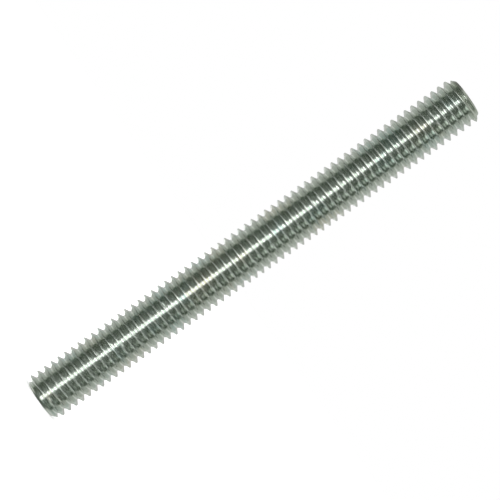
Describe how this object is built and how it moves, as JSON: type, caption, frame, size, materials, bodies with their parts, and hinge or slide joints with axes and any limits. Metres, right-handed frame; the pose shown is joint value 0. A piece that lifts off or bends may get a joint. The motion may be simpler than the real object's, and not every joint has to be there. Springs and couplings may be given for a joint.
{
  "type": "threaded rod",
  "caption": "Straight round steel rod with a right-hand metric thread rolled along its whole length and a chamfer at each flat end.",
  "frame": {"origin": "centre of the lower end face, which the rod stands on", "axes": "+Z along the rod's axis, from the lower end to the upper end; the crest of the thread leaves the lower end 242 degrees from +X"},
  "size_m": [0.0078, 0.0078, 0.08],
  "materials": {
    "zinc_plated_steel": "bright zinc plating on rolled steel, shiny"
  },
  "bodies": {
    "root": {"threaded_rod": "zinc_plated_steel"}
  },
  "joints": []
}
